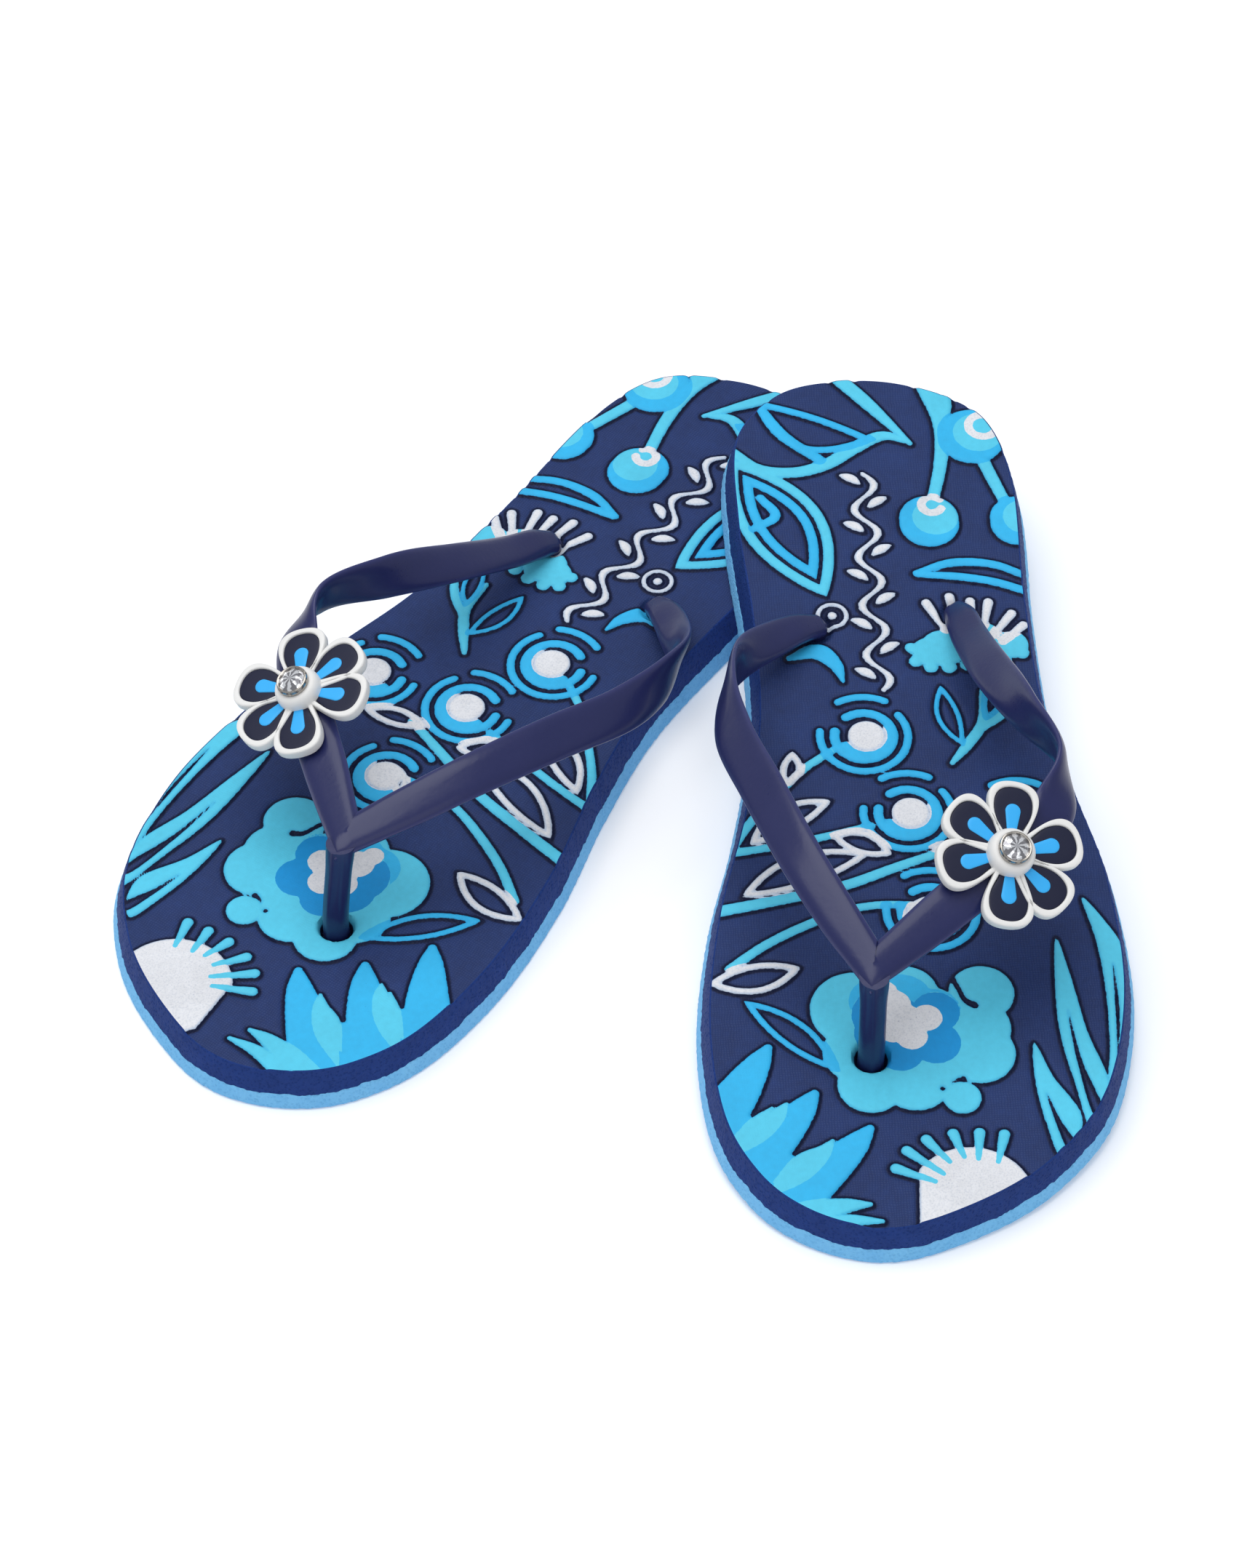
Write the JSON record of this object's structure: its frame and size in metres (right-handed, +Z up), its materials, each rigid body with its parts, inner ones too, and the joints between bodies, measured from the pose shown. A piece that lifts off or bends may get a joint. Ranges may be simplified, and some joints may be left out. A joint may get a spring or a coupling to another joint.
{
  "type": "flip flop",
  "caption": "Thong sandals with two-layer foam soles, soft toe-post straps and a flower charm on each strap; one lies with its heel on the other's.",
  "frame": {"origin": "centre of the pair's bounding box, on the floor that the pair lies on", "axes": "+Z up out of the footbeds; the toes point towards -Y; +X towards the outer side of the left sandal"},
  "size_m": [0.2394, 0.2768, 0.057],
  "materials": {
    "blue_foam": "light blue closed-cell foam, faintly porous at the cut edge",
    "navy_foam": "navy foam with a printed and embossed floral top",
    "strap": "smooth glossy soft plastic, dark navy with a purple cast",
    "charm_white": "soft white plastic, satin",
    "petal_navy": "soft dark navy plastic, satin",
    "petal_drop": "soft sky-blue plastic, satin",
    "rivet": "bright nickel-plated steel",
    "stone": "clear cut stone with a bright foil back"
  },
  "bodies": {
    "right_sandal": {"right_outsole": "blue_foam", "right_footbed": "navy_foam", "right_strap": "strap", "right_rivet_back": "rivet", "right_rivet_cap": "rivet", "right_stone": "stone"},
    "right_charm": {"right_charm_base": "charm_white", "right_petal_fill_1": "petal_navy", "right_petal_fill_2": "petal_navy", "right_petal_fill_3": "petal_navy", "right_petal_fill_4": "petal_navy", "right_petal_fill_5": "petal_navy", "right_petal_fill_6": "petal_navy", "right_petal_drop_1": "petal_drop", "right_petal_drop_2": "petal_drop", "right_petal_drop_3": "petal_drop", "right_petal_drop_4": "petal_drop", "right_petal_drop_5": "petal_drop", "right_petal_drop_6": "petal_drop"},
    "left_sandal": {"left_outsole": "blue_foam", "left_footbed": "navy_foam", "left_strap": "strap", "left_rivet_back": "rivet", "left_rivet_cap": "rivet", "left_stone": "stone"},
    "left_charm": {"left_charm_base": "charm_white", "left_petal_fill_1": "petal_navy", "left_petal_fill_2": "petal_navy", "left_petal_fill_3": "petal_navy", "left_petal_fill_4": "petal_navy", "left_petal_fill_5": "petal_navy", "left_petal_fill_6": "petal_navy", "left_petal_drop_1": "petal_drop", "left_petal_drop_2": "petal_drop", "left_petal_drop_3": "petal_drop", "left_petal_drop_4": "petal_drop", "left_petal_drop_5": "petal_drop", "left_petal_drop_6": "petal_drop"}
  },
  "joints": [
    {"name": "right_charm_spin", "type": "hinge", "parent": "right_sandal", "child": "right_charm", "pos_m": [-0.0733, -0.00236, 0.03822], "axis": [-0.3514, -0.1506, 0.924], "continuous": true},
    {"name": "left_charm_spin", "type": "hinge", "parent": "left_sandal", "child": "left_charm", "pos_m": [0.08787, -0.05689, 0.04361], "axis": [0.2198, -0.3744, 0.9008], "continuous": true},
    {"name": "left_sandal_lift", "type": "slide", "parent": "right_sandal", "child": "left_sandal", "axis": [0, 0, 1], "range_m": [0, 0.12]}
  ]
}
